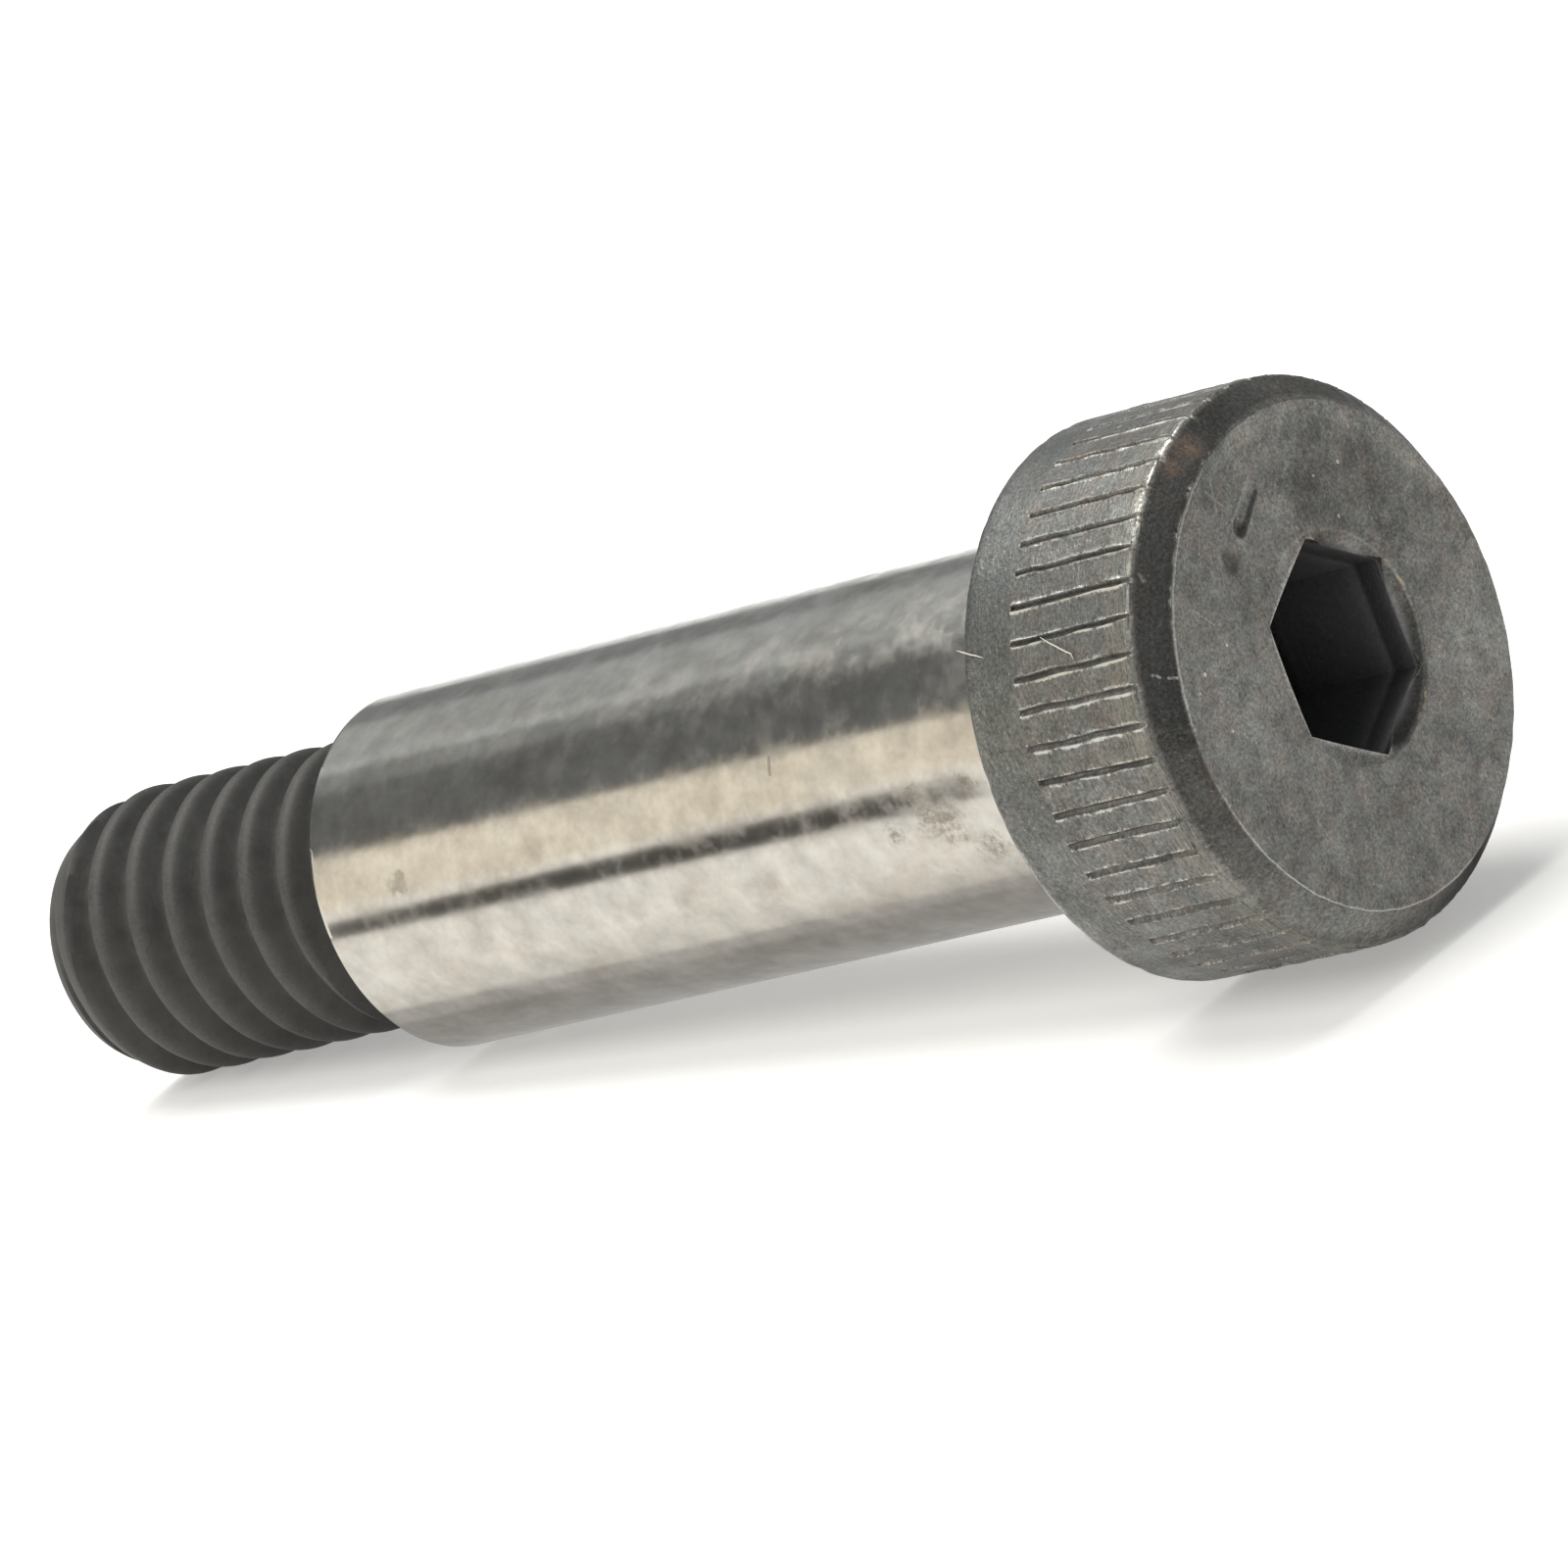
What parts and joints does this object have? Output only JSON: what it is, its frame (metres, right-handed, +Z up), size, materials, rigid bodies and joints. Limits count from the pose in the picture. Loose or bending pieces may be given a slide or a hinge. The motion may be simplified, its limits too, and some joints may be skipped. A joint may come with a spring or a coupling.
{
  "type": "shoulder bolt",
  "caption": "Socket-head shoulder bolt with a knurled round head, ground cylindrical shoulder and reduced threaded end, lying at rest.",
  "frame": {"origin": "middle of the bounding box on the surface that the bolt lies on", "axes": "+X along the bolt towards the head and its socket, which lies 5.26 degrees nose-up from level because the head is thicker than the thread; +Z up"},
  "size_m": [0.0434, 0.0142, 0.0147],
  "materials": {
    "bolt_steel": "heat-treated alloy steel: mottled black oxide on the head, socket, underside and thread, bright ground shoulder"
  },
  "bodies": {
    "root": {"shoulder_bolt": "bolt_steel"}
  },
  "joints": []
}
